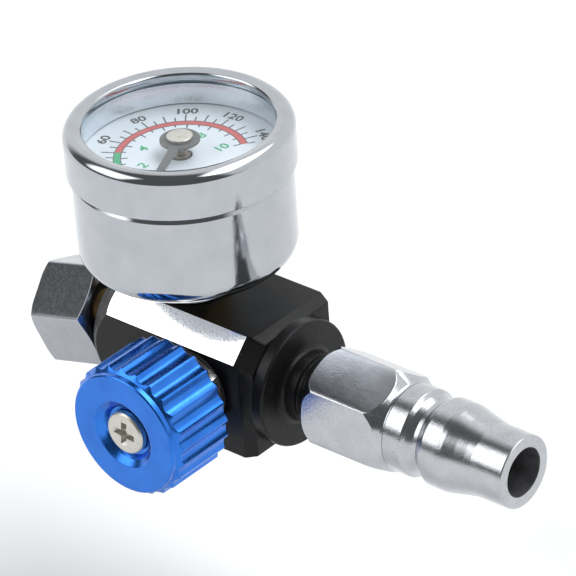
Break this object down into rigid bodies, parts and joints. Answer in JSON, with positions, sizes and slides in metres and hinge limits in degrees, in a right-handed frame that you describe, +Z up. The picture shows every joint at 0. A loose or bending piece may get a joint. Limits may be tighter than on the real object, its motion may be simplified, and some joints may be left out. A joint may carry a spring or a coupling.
{
  "type": "air pressure regulator",
  "caption": "Inline air pressure regulator with a round dial gauge on top, a fluted side knob, a quick-connect plug and a hexagon swivel nut.",
  "frame": {"origin": "centre of the body's flat bottom face, under the gauge's axis", "axes": "+X along the flow axis towards the quick-connect plug, -Y towards the adjusting knob, +Z up along the gauge axis to the dial"},
  "size_m": [0.1055, 0.05, 0.0579],
  "materials": {
    "body_black": "black anodised, satin, corner bevel polished bare",
    "plug_chrome": "polished nickel-chrome plate",
    "nut_chrome": "polished nickel-chrome plate",
    "tail_brass": "turned",
    "bonnet_metal": "nickel plated, turned",
    "knob_blue": "blue anodised, satin",
    "screw_metal": "nickel plated",
    "bezel_chrome": "bright chrome",
    "case_chrome": "bright chrome",
    "lens_clear": "clear",
    "dial_print": "matt white with a printed scale",
    "pointer_black": "matt black",
    "cap_metal": "turned",
    "gauge_brass": "machined",
    "spring_bronze": "rolled bronze",
    "seal_rubber": "smooth",
    "seal_white": "smooth",
    "link_metal": "stamped"
  },
  "bodies": {
    "regulator": {"regulator_body": "body_black", "quick_connect_plug": "plug_chrome", "plug_sealing_washer": "seal_rubber", "nut_tailpiece": "tail_brass", "bonnet": "bonnet_metal", "bonnet_seal_ring": "seal_rubber", "valve_seat": "gauge_brass", "gauge_case": "case_chrome", "gauge_bezel": "bezel_chrome", "gauge_lens": "lens_clear", "lens_gasket": "seal_white", "dial_spacer_ring": "seal_white", "dial_plate": "dial_print", "gauge_socket": "gauge_brass", "gauge_stem_seal": "seal_white", "case_screw_outlet_side": "screw_metal", "case_screw_inlet_side": "screw_metal", "bourdon_tube": "spring_bronze", "bourdon_tip": "gauge_brass", "hairspring": "spring_bronze", "movement_lower_plate": "gauge_brass", "movement_upper_plate": "gauge_brass", "movement_pillar_front": "gauge_brass", "movement_pillar_back": "gauge_brass"},
    "nut_seat": {"nut_gasket": "seal_white"},
    "nut": {"swivel_nut": "nut_chrome"},
    "valve": {"valve_poppet": "gauge_brass", "valve_poppet_seal": "seal_rubber"},
    "knob": {"valve_spindle": "gauge_brass", "spindle_o_ring": "seal_rubber", "spindle_clip": "link_metal", "adjusting_knob": "knob_blue", "knob_screw": "screw_metal"},
    "pointer_set": {"pointer_arbor": "gauge_brass", "pointer": "pointer_black", "pointer_cap": "cap_metal"},
    "sector": {"sector_gear": "gauge_brass"},
    "link": {"movement_link": "link_metal"}
  },
  "joints": [
    {"name": "nut_tilt", "type": "hinge", "parent": "regulator", "child": "nut_seat", "pos_m": [-0.0165, 0, 0.0112], "axis": [0, 1, 0], "range_deg": [0, 29.8]},
    {"name": "nut_spin", "type": "hinge", "parent": "nut_seat", "child": "nut", "pos_m": [-0.0165, 0, 0.0112], "axis": [0.9664, 0, 0.2571], "continuous": true},
    {"name": "valve_travel", "type": "slide", "parent": "regulator", "child": "valve", "axis": [0, -1, 0], "range_m": [0, 0.002]},
    {"name": "knob_turn", "type": "hinge", "parent": "valve", "child": "knob", "pos_m": [0.00945, 0, 0.0112], "axis": [0, -1, 0], "range_deg": [0, 900]},
    {"name": "pointer_turn", "type": "hinge", "parent": "regulator", "child": "pointer_set", "pos_m": [0, 0, 0.0112], "axis": [0, 0, -1], "range_deg": [0, 240], "stiffness_Nm_per_rad": 0.000001},
    {"name": "sector_swing", "type": "hinge", "parent": "regulator", "child": "sector", "pos_m": [-0.00761, -0.00355, 0.0432], "axis": [0, 0, 1], "range_deg": [0, 40.1]},
    {"name": "link_swing", "type": "hinge", "parent": "sector", "child": "link", "pos_m": [-0.00909, -0.00672, 0.0422], "axis": [0, 0, 1], "range_deg": [-30, 0]}
  ],
  "couplings": [
    {"joint": "knob_turn", "follows": "valve_travel", "rad_per_m": 7854},
    {"joint": "sector_swing", "follows": "pointer_turn", "ratio": 0.16667},
    {"joint": "link_swing", "follows": "pointer_turn", "ratio": -0.1196}
  ]
}
